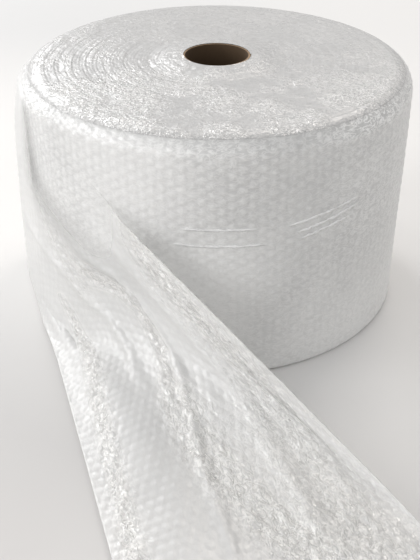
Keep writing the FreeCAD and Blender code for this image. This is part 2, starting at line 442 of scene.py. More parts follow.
def grid_piece(name: str, places: Array, spread: Array | None = None,
               marks: dict[str, Array] | None = None) -> bpy.types.Object:
    """Add a grid primitive and move its corners to their places.

    Args:
        name: the piece's name.
        places: an array of rows, columns and x, y, z. A row runs along the grid's x.
        spread: the same rows and columns, with each corner's place on the UV map, from 0 to 1 each way.
        marks: numbers for the corners, by the name of the attribute that keeps them.

    Returns:
        The new piece, active and selected, with a UV map from 0 to 1 each way.
    """
    rows, columns = places.shape[:2]
    bpy.ops.object.select_all(action="DESELECT")
    bpy.ops.mesh.primitive_grid_add(x_subdivisions=columns - 1, y_subdivisions=rows - 1, size=1.0)
    piece = bpy.context.object
    piece.name = name
    piece.data.name = name
    start = np.empty(rows * columns * 3)
    piece.data.vertices.foreach_get("co", start)
    start = start.reshape(-1, 3).round(5)
    order = np.lexsort((start[:, 0], start[:, 1]))
    moved = np.empty_like(start)
    moved[order] = places.reshape(-1, 3)
    piece.data.vertices.foreach_set("co", moved.ravel())
    if spread is not None:
        corner = np.empty(len(piece.data.loops), dtype=int)
        piece.data.loops.foreach_get("vertex_index", corner)
        laid = np.empty((rows * columns, 2))
        laid[order] = spread.reshape(-1, 2)
        piece.data.uv_layers[0].data.foreach_set("uv", laid[corner].ravel())
    for key, values in (marks or {}).items():
        kept = np.empty(rows * columns)
        kept[order] = values.ravel()
        piece.data.attributes.new(key, "FLOAT", "POINT").data.foreach_set("value", kept)
    piece.data.update()
    return piece


def close_seams(piece: bpy.types.Object, reach: float = 1e-6) -> None:
    """Merge the corners of a piece that lie on each other.

    Args:
        piece: the piece with open seams.
        reach: how far apart such corners may lie.
    """
    bpy.context.view_layer.objects.active = piece
    bpy.ops.object.mode_set(mode="EDIT")
    bpy.ops.mesh.select_all(action="SELECT")
    bpy.ops.mesh.remove_doubles(threshold=reach)
    bpy.ops.object.mode_set(mode="OBJECT")


def dress(piece: bpy.types.Object, material: bpy.types.Material, node: str) -> None:
    """Give a piece its material and its place in the frame.

    Args:
        piece: the finished piece.
        material: its material.
        node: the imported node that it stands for.
    """
    bpy.ops.object.select_all(action="DESELECT")
    piece.select_set(True)
    bpy.context.view_layer.objects.active = piece
    bpy.ops.object.shade_smooth()
    piece.data.materials.clear()
    piece.data.materials.append(material)
    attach(piece, "root")
    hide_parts(node)
    log.info("%s: %d faces", piece.name, len(piece.data.polygons))


def smooth_step(value: Array, low: float, high: float) -> Array:
    """Rise smoothly from 0 at low to 1 at high."""
    share = np.clip((value - low) / (high - low), 0.0, 1.0)
    return share * share * (3.0 - 2.0 * share)


def plateau(value: Array, start: float, full: float, end: float, gone: float) -> Array:
    """Rise smoothly from 0 at start to 1 at full, and fall off again from end to gone."""
    return smooth_step(value, start, full) * (1.0 - smooth_step(value, end, gone))


def soft_min(value: Array, limit: float, blend: float) -> Array:
    """Take the lower of two values, rounded over where they cross."""
    return (value + limit - np.hypot(value - limit, blend)) / 2.0


@dataclass(frozen=True)
class Crinkle:
    """Seeded smooth noise over a flat field.

    Attributes:
        seed: start of its random numbers.
        cells: how many lumps it has each way before it repeats.
    """

    seed: int
    cells: int = 128

    def at(self, first: Array, second: Array, scale: float, wrap: int = 0) -> Array:
        """Read the noise.

        Args:
            first: one coordinate.
            second: the other coordinate.
            scale: the size of its lumps.
            wrap: how many lumps the first coordinate has all the way round, or 0.

        Returns:
            Values from about -1 to 1.
        """
        rng = np.random.default_rng(self.seed)
        table = rng.uniform(-1.0, 1.0, (self.cells, self.cells))
        x, y = first / scale, second / scale
        column, row = np.floor(x).astype(int), np.floor(y).astype(int)
        across, up = x - column, y - row
        across, up = across * across * (3 - 2 * across), up * up * (3 - 2 * up)
        period = wrap or self.cells
        left, right = column % period % self.cells, (column + 1) % period % self.cells
        low, high = row % self.cells, (row + 1) % self.cells
        below = table[left, low] * (1 - across) + table[right, low] * across
        above = table[left, high] * (1 - across) + table[right, high] * across
        return below * (1 - up) + above * up


@dataclass(frozen=True)
class Bubbles:
    """The staggered rows of bubbles in the web.

    Attributes:
        pitch: distance between the centres of two neighbours.
        radius: radius of a bubble.
        fullness: how flat a bubble is on top.
        shuffle: factors that mix a bubble's column, row and shift into a number of its own.
        seed: start of those numbers.
    """

    pitch: float = 0.01238
    radius: float = 0.0054
    fullness: float = 1.3
    shuffle: tuple[float, float, float, float] = (12.9898, 78.233, 37.719, 43758.5453)
    seed: int = 7

    @property
    def row_step(self) -> float:
        """How far apart along the web two bubbles are that stand at the same place across it."""
        return self.pitch * math.sqrt(3.0)

    def nearest(self, along: Array, across: Array) -> tuple[Array, Array]:
        """Find the nearest bubble.

        Args:
            along: distance along the web.
            across: distance across it.

        Returns:
            The distance to its centre, and a fixed random number of its own.
        """
        by_column, by_row, by_shift, spread = self.shuffle
        best, chance = np.full(np.shape(along), np.inf), np.zeros(np.shape(along))
        for shift in (0.0, 0.5):
            column = np.floor(along / self.row_step - shift + 0.5)
            row = np.floor(across / self.pitch - shift + 0.5)
            ahead, aside = along - (column + shift) * self.row_step, across - (row + shift) * self.pitch
            distance = np.hypot(ahead, aside)
            mixed = np.sin(column * by_column + row * by_row + shift * by_shift + self.seed) * spread
            nearer = distance < best
            best = np.where(nearer, distance, best)
            chance = np.where(nearer, mixed - np.floor(mixed), chance)
        return best, chance

    def rise(self, along: Array, across: Array, spread: float = 0.35) -> Array:
        """Give each bubble's dome.

        Args:
            along: distance along the web.
            across: distance across it.
            spread: how unevenly the bubbles are filled.

        Returns:
            Heights from 0 between bubbles to about 1 on top of a full one.
        """
        distance, chance = self.nearest(along, across)
        share = np.clip(distance / self.radius, 0.0, 1.0)
        return (0.5 + 0.5 * np.cos(math.pi * share ** self.fullness)) * (1.0 - spread * chance)


@dataclass(frozen=True)
class CreaseLine:
    """A thin crease that runs straight over the film, drawn white as a painted highlight.

    Attributes:
        start: distance along the web where it starts.
        low: distance across the web there.
        end: distance along the web where it ends.
        high: distance across the web there.
    """

    start: float
    low: float
    end: float
    high: float


@dataclass(frozen=True)
class FilmFinish:
    """Glossy milky film over air bubbles, on a UV map laid out along and across the web.

    The mark crumple says how crinkled the film is at each place, which also sets its painted shade and
    painted glints, cover how much of it shows, and pale how much painted light it gets.

    Attributes:
        name: the material's name.
        length: what the UV map covers along the web.
        width: what it covers across it.
        light: colour of a full bubble.
        deep: colour of the welds between bubbles.
        painted_lightening: colour of the painted light.
        gap: colour of the painted shade in the hollows of crumpled film.
        painted_glint: colour of the sharp folds in crumpled film: a painted glint, and partly the whitened
            film of the fold.
        crease: colour of the crease lines, a painted highlight along each crease.
        gloss: roughness of the smoothest film.
        crinkle: height of the crumpled film's relief.
        drawn: how much the folds are drawn out along the web, below 1, or not, at 1.
        weld: how much of the weld's colour shows.
        dimple: depth of the welds.
        inner: how much light passes under the surface.
        shine: refractive index.
        mirrored: whether the map holds both faces of the web, one after the other.
        offset: how far below the web's lower edge the map starts.
        weld_reach: distances from a bubble's centre where the weld starts and is full.
        clouds: slow patches in a metre.
        folds: folds in a metre.
        wrinkles: fine wrinkles in a metre.
        scatter: how far light travels under the surface.
        line_edges: half the width of a crease line's core, and of the whole line.
        line_fade: length over which its ends fade.
        line_sway: how far it sways with the folds.
        creases: the crease lines.
        bubbles: the rows of bubbles.
    """

    name: str
    length: float
    width: float
    light: tuple[float, float, float] = (0.66, 0.66, 0.65)
    deep: tuple[float, float, float] = (0.49, 0.49, 0.49)
    painted_lightening: tuple[float, float, float] = (0.86, 0.86, 0.85)
    gap: tuple[float, float, float] = (0.60, 0.595, 0.59)
    painted_glint: tuple[float, float, float] = (0.98, 0.975, 0.965)
    crease: tuple[float, float, float] = (0.99, 0.99, 0.99)
    gloss: float = 0.09
    crinkle: float = 1.0
    drawn: float = 1.0
    weld: float = 0.3
    dimple: float = 0.3
    inner: float = 0.8
    shine: float = 1.9
    mirrored: bool = False
    offset: float = 0.0
    weld_reach: tuple[float, float] = (0.0014, 0.0062)
    clouds: float = 24.0
    folds: float = 200.0
    wrinkles: float = 380.0
    scatter: tuple[float, float, float] = (0.012, 0.012, 0.012)
    line_edges: tuple[float, float] = (0.0003, 0.0022)
    line_fade: float = 0.012
    line_sway: float = 0.004
    creases: tuple[CreaseLine, ...] = ()
    bubbles: Bubbles = field(default_factory=Bubbles)

    def make(self) -> bpy.types.Material:
        """Build the material.

        Returns:
            The finished material.
        """
        shader = Shader(self.name)
        place = self.place(shader)
        along, across = shader.axis(place, "X"), shader.axis(place, "Y")
        if self.mirrored:
            half = self.width / 2.0
            across = half - abs(across - half)
        crumple, painted_light = shader.mark("crumple"), shader.mark("painted_light")
        weld = self.distance(along, across).ramp(*self.weld_reach)
        drawn = shader.node("ShaderNodeMapping", {}, {"Vector": place, "Scale": (self.drawn, 1.0, 1.0)})
        cloud = shader.noise(place, self.clouds, 3.0)
        fold = shader.noise(drawn, self.folds, 2.0, 1.2)
        fine = shader.noise(drawn, self.wrinkles, 2.0, 0.8)
        sharp = abs(fold - 0.5)
        shade = weld * self.weld + cloud.ramp(0.3, 0.7) * 0.3 + fine * 0.2
        colour = shader.mix(shade, rgba(*self.light), rgba(*self.deep))
        # Painted light, where the piece marks it.
        colour = shader.mix(painted_light, colour, rgba(*self.painted_lightening))
        # Painted shade in the hollows of crumpled film.
        colour = shader.mix(crumple * (fold.ramp(0.35, 0.65) * 0.5 + 0.3), colour, rgba(*self.gap))
        # Painted glints on the sharp folds of crumpled film, and partly their whitened film.
        colour = shader.mix((1.0 - sharp.ramp(0.01, 0.09)) * crumple, colour, rgba(*self.painted_glint))
        relief = (sharp * 2.2 + fine * 0.2) * crumple * self.crinkle - weld * self.dimple
        # Each crease line adds relief and a painted highlight.
        for crease in self.creases:
            line = self.line(crease, along, across + (fold - 0.5) * self.line_sway)
            relief = relief + line * 2.0
            colour = shader.mix(line, colour, rgba(*self.crease))
        return shader.finish(shader.node("ShaderNodeBsdfPrincipled", {}, {
            "Base Color": colour,
            "Roughness": (1.0 - crumple) * 0.32 + fine * 0.05 + self.gloss,
            "Normal": shader.bump(relief, 0.001),
            "IOR": self.shine,
            "Subsurface Weight": self.inner,
            "Subsurface Radius": self.scatter,
            "Subsurface Scale": 0.9,
            "Alpha": shader.mark("cover"),
        }))

    def place(self, shader: Shader) -> Wire:
        """Read the place on the web, in metres along and across it.

        Args:
            shader: the material under construction.

        Returns:
            The wire that carries the place.
        """
        spread = shader.node("ShaderNodeUVMap", {"uv_map": "UVMap"}, {}, "UV")
        scale, start = (self.length, self.width, 1.0), (0.0, -self.offset, 0.0)
        return shader.node("ShaderNodeMapping", {}, {"Vector": spread, "Scale": scale, "Location": start})

    def distance(self, along: Wire, across: Wire) -> Wire:
        """Give the distance to the nearest bubble's centre.

        Args:
            along: distance along the web.
            across: distance across it.

        Returns:
            The wire that carries the distance.
        """
        found = []
        for shift in (0.0, 0.5):
            pair = []
            for wire, step in ((along, self.bubbles.row_step), (across, self.bubbles.pitch)):
                cell = (wire / step - (shift - 0.5)).past_whole() - 0.5
                pair.append(cell * step)
            found.append((pair[0] * pair[0] + pair[1] * pair[1]) ** 0.5)
        return found[0].least(found[1])

    def line(self, crease: CreaseLine, along: Wire, across: Wire) -> Wire:
        """Draw a crease line.

        Args:
            crease: where it runs.
            along: distance along the web.
            across: distance across it, with its sway.

        Returns:
            The wire that carries 1 on the line and 0 beside it.
        """
        slope = (crease.high - crease.low) / (crease.end - crease.start)
        off = abs(across - along * slope - (crease.low - crease.start * slope))
        start, end, fade = crease.start, crease.end, self.line_fade
        return (1.0 - off.ramp(*self.line_edges)) * along.band(start, start + fade, end - fade, end)


@dataclass(frozen=True)
class TurnEdgeFinish:
    """The crinkled cut edges of the turns, seen on an end of the roll, with painted glints in patches.

    Attributes:
        name: the material's name.
        light: colour of the turns.
        deep: colour of the hollows.
        painted_glint: colour of the painted glints on the sharp folds in crinkled patches.
        clouds: slow patches in a metre.
        wrinkles: fine wrinkles in a metre.
        front_depth: from where to where the patches, with their painted glints, weaken towards the back.
        relief: height of the wrinkles.
        scatter: how far light travels under the surface.
    """

    name: str
    light: tuple[float, float, float] = (0.57, 0.565, 0.56)
    deep: tuple[float, float, float] = (0.45, 0.45, 0.45)
    painted_glint: tuple[float, float, float] = (0.90, 0.89, 0.88)
    clouds: float = 22.0
    wrinkles: float = 240.0
    front_depth: tuple[float, float] = (-0.14, 0.06)
    relief: float = 0.0012
    scatter: tuple[float, float, float] = (0.01, 0.01, 0.01)

    def make(self) -> bpy.types.Material:
        """Build the material.

        Returns:
            The finished material.
        """
        shader = Shader(self.name)
        place = shader.place()
        cloud = shader.noise(place, self.clouds, 3.0)
        fine = shader.noise(place, self.wrinkles, 2.0, 1.0)
        shade = cloud.ramp(0.3, 0.7) * 0.45 + fine.ramp(0.35, 0.65) * 0.4
        front = 1.0 - shader.axis(place, "Y").ramp(*self.front_depth)
        patch = (1.0 - cloud.ramp(0.3, 0.7)) * (front * 0.8 + 0.2)
        colour = shader.mix(shade, rgba(*self.light), rgba(*self.deep))
        # Painted glints on the sharp folds, in patches that are stronger towards the front.
        colour = shader.mix((1.0 - abs(fine - 0.5).ramp(0.0, 0.07)) * patch, colour, rgba(*self.painted_glint))
        return shader.finish(shader.node("ShaderNodeBsdfPrincipled", {}, {
            "Base Color": colour,
            "Roughness": cloud.ramp(0.25, 0.75) * 0.2 + 0.14,
            "Normal": shader.bump(fine * (patch * 2.2 + 0.3), self.relief),
            "IOR": 1.8,
            "Subsurface Weight": 0.5,
            "Subsurface Radius": self.scatter,
            "Subsurface Scale": 0.5,
        }))


@dataclass(frozen=True)
class BoardFinish:
    """Brown spiral-wound board, with painted shade in the bore.

    Attributes:
        name: the material's name.
        light: colour of the board.
        deep: colour of its darker fibres.
        painted_bore_shade: colour of the painted shade in the bore.
        bore_skin: radii between which the painted shade of the bore ends.
        fibres: fibres in a metre.
        clouds: slow patches in a metre.
    """

    name: str
    light: tuple[float, float, float] = (0.42, 0.29, 0.18)
    deep: tuple[float, float, float] = (0.27, 0.175, 0.10)
    painted_bore_shade: tuple[float, float, float] = (0.075, 0.045, 0.022)
    bore_skin: tuple[float, float] = (0.0384, 0.0388)
    fibres: float = 420.0
    clouds: float = 60.0

    def make(self) -> bpy.types.Material:
        """Build the material.

        Returns:
            The finished material.
        """
        shader = Shader(self.name)
        place = shader.place()
        fibre = shader.noise(place, self.fibres, 4.0)
        cloud = shader.noise(place, self.clouds, 2.0)
        shade = fibre.ramp(0.3, 0.7) * 0.6 + cloud * 0.4
        side, depth = shader.axis(place, "X"), shader.axis(place, "Y")
        # Painted shade over the bore's wall.
        painted_bore_shade = 1.0 - ((side * side + depth * depth) ** 0.5).ramp(*self.bore_skin)
        colour = shader.mix(shade, rgba(*self.light), rgba(*self.deep))
        colour = shader.mix(painted_bore_shade, colour, rgba(*self.painted_bore_shade))
        return shader.finish(shader.node("ShaderNodeBsdfPrincipled", {}, {
            "Base Color": colour,
            "Roughness": 0.85,
            "Normal": shader.bump(fibre, 0.0004, 0.4),
        }))


@dataclass(frozen=True)
class RollSizes:
    """The sizes of the roll and its loose end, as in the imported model.

    Attributes:
        radius: radius of the wound roll.
        width: width of the web, and so the roll's height.
        bore: inner radius of the winding.
        lip: inner radius of the top's turns, where they reach over the tube's end.
        collar: how far the top's turns rise towards the tube.
        turn: thickness of a turn.
        rim: how far the top end rounds over.
        foot: how far the bottom end rounds over.
        film: thickness of the loose web.
        leave: direction from the axis, from +X, in which the web leaves the roll.
        peel_back: angle before that over which the outer turn is slack.
        slack: how far the slack turn stands off at most.
        tuck: how far its edges draw in where it comes out of the roll.
        lie_gap: gap between the roll and the web that lies on it.
        line_gap: gap between the roll and the line on the floor that the web's lower edge follows.
        edge_start: where the upper edge starts to come down.
        landing: how far forward it lands.
        landing_blend: how softly it lands.
        lying: length of the web that lies flat past that.
        fold_start: how far forward the web starts to fold over.
        fold_full: how far forward it is folded over.
        fold_share: how sharply it folds.
        ridge_height: height of the raised fold.
        ridge_share: its width, as a share of the web's reach sideways.
        ridge_start: how far forward it starts.
        ridge_full: how far forward it is highest.
        crease_height: height of the two long creases.
        crease_spread: how broad they are.
        high_crease: distances across the web of the upper one, at its start and at the cut end.
        low_crease: the same for the lower one.
        crease_start: length over which they rise.
    """

    radius: float = 0.2355
    width: float = 0.300
    bore: float = 0.0417
    lip: float = 0.0402
    collar: float = 0.0050
    turn: float = 0.0041
    rim: float = 0.024
    foot: float = 0.005
    film: float = 0.004
    leave: float = math.radians(197.0)
    peel_back: float = math.radians(52.0)
    slack: float = 0.028
    tuck: float = 0.008
    lie_gap: float = 0.0012
    line_gap: float = 0.0075
    edge_start: float = 0.025
    landing: float = 0.499
    landing_blend: float = 0.016
    lying: float = 0.111
    fold_start: float = -0.060
    fold_full: float = 0.120
    fold_share: float = 0.88
    ridge_height: float = 0.014
    ridge_share: float = 0.62
    ridge_start: float = 0.060
    ridge_full: float = 0.260
    crease_height: float = 0.006
    crease_spread: float = 0.014
    high_crease: tuple[float, float] = (0.178, 0.095)
    low_crease: tuple[float, float] = (0.070, 0.020)
    crease_start: float = 0.060


class End(Enum):
    """An end of the roll."""

    TOP = "top"
    BOTTOM = "bottom"


@dataclass
class WoundTurns:
    """The wound turns: their outside and their edges on both ends.

    Attributes:
        sizes: the roll's sizes.
        bubbles: the rows of bubbles.
        creases: the crease lines on the outside.
        bend: how far the outside follows the rounding of the top end.
        columns: steps of the outside all the way round.
        uprights: steps of its straight part.
        bends: steps of its bent part.
        lump: length of its slow swellings.
        swell: height of those.
        dome: height of the bubbles on it.
        joint: length over which both fade out at its top.
        shoulder: how far from the straight part's top the crumpled rim starts and is full.
        handled_left: directions, in degrees, between which the rim is much crumpled.
        handled_right: directions between which it is crumpled a little.
        front_left_light_turns: directions between which the outside gets painted light on its front left.
        lee: directions between which the lower part beside the loose web gets painted light over the web's
            shadow.
        lee_top: heights between which that ends.
        foot_light_heights: heights between which the painted light at the foot ends.
        painted_lightening: how strong the painted light is on the front left, at the foot and beside the
            loose web.
        crumpled: how crumpled the outside is on average, and how much more on a swelling.
        rim_crumpled: how much the rim adds on average, and how much more on a swelling.
        rim_handled: share of that which the rim adds all round, and more of it at the left and at the right.
        edge_depth: depth of the gap between two turns' edges, on the flat and added on the rounding.
        edge_sway: how unevenly the edges stand, on the flat and added on the rounding.
        sways: how many times an edge wavers in a radian.
        ripple: height of the ripples over the edges.
        ripple_length: length of those.
        sunk: how far all the edges lie below the end.
        lip_depth: how far the innermost edge lies below it.
        edge_fade: length over which all this fades out at the outside.
        collar_reach: length over which the top's turns rise towards the tube.
    """

    sizes: RollSizes = field(default_factory=RollSizes)
    bubbles: Bubbles = field(default_factory=Bubbles)
    creases: tuple[CreaseLine, ...] = (
        CreaseLine(1.070, 0.190, 1.155, 0.189),
        CreaseLine(1.060, 0.170, 1.165, 0.169),
        CreaseLine(1.185, 0.187, 1.285, 0.202),
        CreaseLine(1.195, 0.177, 1.280, 0.192),
        CreaseLine(1.200, 0.169, 1.270, 0.181),
    )
    bend: float = math.radians(52.0)
    columns: int = 640
    uprights: int = 108
    bends: int = 12
    lump: float = 0.09
    swell: float = 0.0010
    dome: float = 0.0006
    joint: float = 0.007
    shoulder: tuple[float, float] = (-0.004, 0.010)
    handled_left: tuple[float, float, float, float] = (190.0, 215.0, 245.0, 262.0)
    handled_right: tuple[float, float, float, float] = (288.0, 300.0, 322.0, 335.0)
    front_left_light_turns: tuple[float, float, float, float] = (220.0, 242.0, 250.0, 280.0)
    lee: tuple[float, float, float, float] = (244.0, 258.0, 268.0, 296.0)
    lee_top: tuple[float, float] = (0.13, 0.22)
    foot_light_heights: tuple[float, float] = (0.01, 0.14)
    painted_lightening: tuple[float, float, float] = (0.5, 0.6, 0.95)
    crumpled: tuple[float, float] = (0.26, 0.12)
    rim_crumpled: tuple[float, float] = (0.5, 0.45)
    rim_handled: tuple[float, float, float] = (0.3, 0.8, 0.6)
    edge_depth: tuple[float, float] = (0.00015, 0.0007)
    edge_sway: tuple[float, float] = (0.0002, 0.0006)
    sways: float = 1.9
    ripple: float = 0.0003
    ripple_length: float = 0.006
    sunk: float = 0.0006
    lip_depth: float = 0.0002
    edge_fade: float = 0.012
    collar_reach: float = 0.045

    def outside(self) -> None:
        """Build the outermost turn, from the foot to where the rim rounds over."""
        size = self.sizes
        straight = size.width - size.rim - size.foot
        arc, foot = size.rim * self.bend, size.foot * math.pi / 2.0
        path = np.concatenate([
            np.linspace(-foot, 0.0, 4)[:-1],
            np.linspace(0.0, straight, self.uprights + 1),
            np.linspace(straight, straight + arc, self.bends + 1)[1:],
        ])
        angle, path = np.meshgrid(np.linspace(0.0, 2.0 * math.pi, self.columns + 1), path)
        along, length = angle * size.radius, 2.0 * math.pi * size.radius
        lumps = round(length / self.lump)
        slow = Crinkle(3).at(along, path, length / lumps, wrap=lumps)
        lift = self.dome * self.bubbles.rise(along, path) + self.swell * slow
        lift = lift * (1.0 - smooth_step(path, straight + arc - self.joint, straight + arc))
        below = np.clip(-path, 0.0, foot) / size.foot
        above = np.clip(path - straight, 0.0, arc) / size.rim
        out = size.radius - size.foot * (1.0 - np.cos(below)) - size.rim * (1.0 - np.cos(above))
        height = size.foot * (1.0 - np.sin(below)) + np.clip(path, 0.0, straight) + size.rim * np.sin(above)
        out = out + lift * np.cos(above) * np.cos(below)
        height = height + lift * np.sin(above)
        places = np.stack([out * np.cos(angle), out * np.sin(angle), height], axis=2)
        places[:, -1] = places[:, 0]
        width = straight + arc + foot
        spread = np.stack([along / length, (path + foot) / width], axis=2)
        marks = self.marks(np.degrees(angle), path - straight, path, slow)
        piece = grid_piece("outer_turn", places, spread, marks)
        close_seams(piece)
        finish = FilmFinish("outer_turn_film", length, width, drawn=0.5, offset=foot, creases=self.creases)
        dress(piece, finish.make(), "bubble_wrap")

    def marks(self, turn: Array, past: Array, path: Array, slow: Array) -> dict[str, Array]:
        """Say how crumpled the outside is, and where it gets painted light.

        Args:
            turn: directions from the axis, in degrees from +X.
            past: distances past the top of the straight part.
            path: distances above its foot.
            slow: its slow swellings, from about -1 to 1.

        Returns:
            The marks of its corners, by name.
        """
        rim = smooth_step(past, *self.shoulder)
        all_round, left, right = self.rim_handled
        handled = all_round + left * plateau(turn, *self.handled_left)
        handled = handled + right * plateau(turn, *self.handled_right)
        even, swollen = self.crumpled
        rim_even, rim_swollen = self.rim_crumpled
        crumple = even + swollen * slow + (rim_even + rim_swollen * slow) * rim * handled
        crumple = np.clip(crumple, 0.0, 1.0)
        # Painted light on the front left, at the foot, and over the loose web's shadow beside it.
        front_left_light, at_foot, in_lee = self.painted_lightening
        foot = at_foot * (1.0 - smooth_step(path, *self.foot_light_heights))
        lee = in_lee * plateau(turn, *self.lee) * (1.0 - smooth_step(path, *self.lee_top))
        painted_light = np.maximum(np.maximum(front_left_light * plateau(turn, *self.front_left_light_turns), foot), lee)
        return {"crumple": crumple, "cover": np.ones_like(crumple), "painted_light": painted_light}

    def end(self, which: End, columns: int, profile: tuple[float, ...]) -> None:
        """Build the turns' edges on one end.

        Args:
            which: the end of the roll.
            columns: how many points each turn has all the way round.
            profile: how deep the points across its thickness lie, from 0 to 1.
        """
        size = self.sizes
        top = which is End.TOP
        inner, ease = (size.lip, size.rim) if top else (size.bore, size.foot)
        reach = size.radius - ease + (ease * math.cos(self.bend) if top else 0.0)
        turns, steps = math.ceil((reach - size.bore) / size.turn) + 1, len(profile)
        angle = np.linspace(0.0, 2.0 * math.pi, columns + 1)
        angle, index = np.meshgrid(angle, np.arange(-steps, turns * steps + 1))
        wound = index / steps + angle / (2.0 * math.pi)
        out = np.clip(size.bore + size.turn * wound, inner, reach)
        x, y = out * np.cos(angle), out * np.sin(angle)
        gaps = np.array(profile)[index % steps]
        turned = 2.0 * math.pi * np.floor(index / steps) + angle
        sway = Crinkle(11).at(turned * self.sways, turned * 0.0, 1.0)
        ripple = Crinkle(12).at(x, y, self.ripple_length)
        depth = self.sag(out, reach, ease, gaps, sway, ripple)
        collar = size.collar * (1.0 - smooth_step(out, size.bore, size.bore + self.collar_reach))
        places = np.stack([x, y, size.width - depth + collar if top else depth], axis=2)
        name = f"turn_edges_{which.value}"
        piece = grid_piece(name, places[::-1] if top else places)
        close_seams(piece)
        dress(piece, TurnEdgeFinish(f"{name}_film").make(), "bubble_wrap")

    def sag(self, out: Array, reach: float, ease: float, gaps: Array, sway: Array, ripple: Array) -> Array:
        """Find how far the turns' edges lie below the end of the roll.

        Args:
            out: distances from the axis.
            reach: the largest of them.
            ease: how far the end rounds over.
            gaps: how deep in the gap between two turns the points lie, from 0 to 1.
            sway: how the turns' edges waver, from about -1 to 1.
            ripple: the ripples over them, from about -1 to 1.

        Returns:
            The depths.
        """
        size = self.sizes
        slope = np.clip(out - (size.radius - ease), 0.0, ease)
        slump = slope / ease
        depth = (self.edge_depth[0] + self.edge_depth[1] * slump) * gaps
        depth = depth + (self.edge_sway[0] + self.edge_sway[1] * slump) * sway
        depth = depth + self.ripple * ripple + self.sunk
        depth = np.maximum(depth, 0.0) * (1.0 - smooth_step(out, reach - self.edge_fade, reach))
        depth = np.where(out <= size.bore, self.lip_depth, depth)
        return depth + ease - np.sqrt(ease ** 2 - slope ** 2)

    def build(self) -> None:
        """Build all three pieces."""
        self.outside()
        self.end(End.TOP, 360, (0.0, 0.7, 1.0, 0.6))
        self.end(End.BOTTOM, 180, (0.0, 1.0))


@dataclass(frozen=True)
class Ridge:
    """A soft fold that stands up along a line on the web.

    Attributes:
        line: distances along and across the web of the points that the line joins.
        height: how far it stands up.
        spread: how broad it is.
        ease_in: how far before the line's first point it starts, and how far past it it is full.
        ease_out: how far before the last point it starts to fade, and how far past it it is gone.
    """

    line: tuple[tuple[float, float], ...]
    height: float
    spread: float
    ease_in: tuple[float, float] = (0.04, 0.03)
    ease_out: tuple[float, float] = (0.03, 0.05)

    def rise(self, along: Array, across: Array) -> Array:
        """Give the fold's height.

        Args:
            along: distance along the web.
            across: distance across it.

        Returns:
            How far the fold stands up there.
        """
        spots = np.array(self.line)
        middle = np.interp(along, spots[:, 0], spots[:, 1])
        first, last = spots[0, 0], spots[-1, 0]
        fade = plateau(along, first - self.ease_in[0], first + self.ease_in[1],
                       last - self.ease_out[0], last + self.ease_out[1])
        return self.height * fade * np.exp(-((across - middle) / self.spread) ** 2)


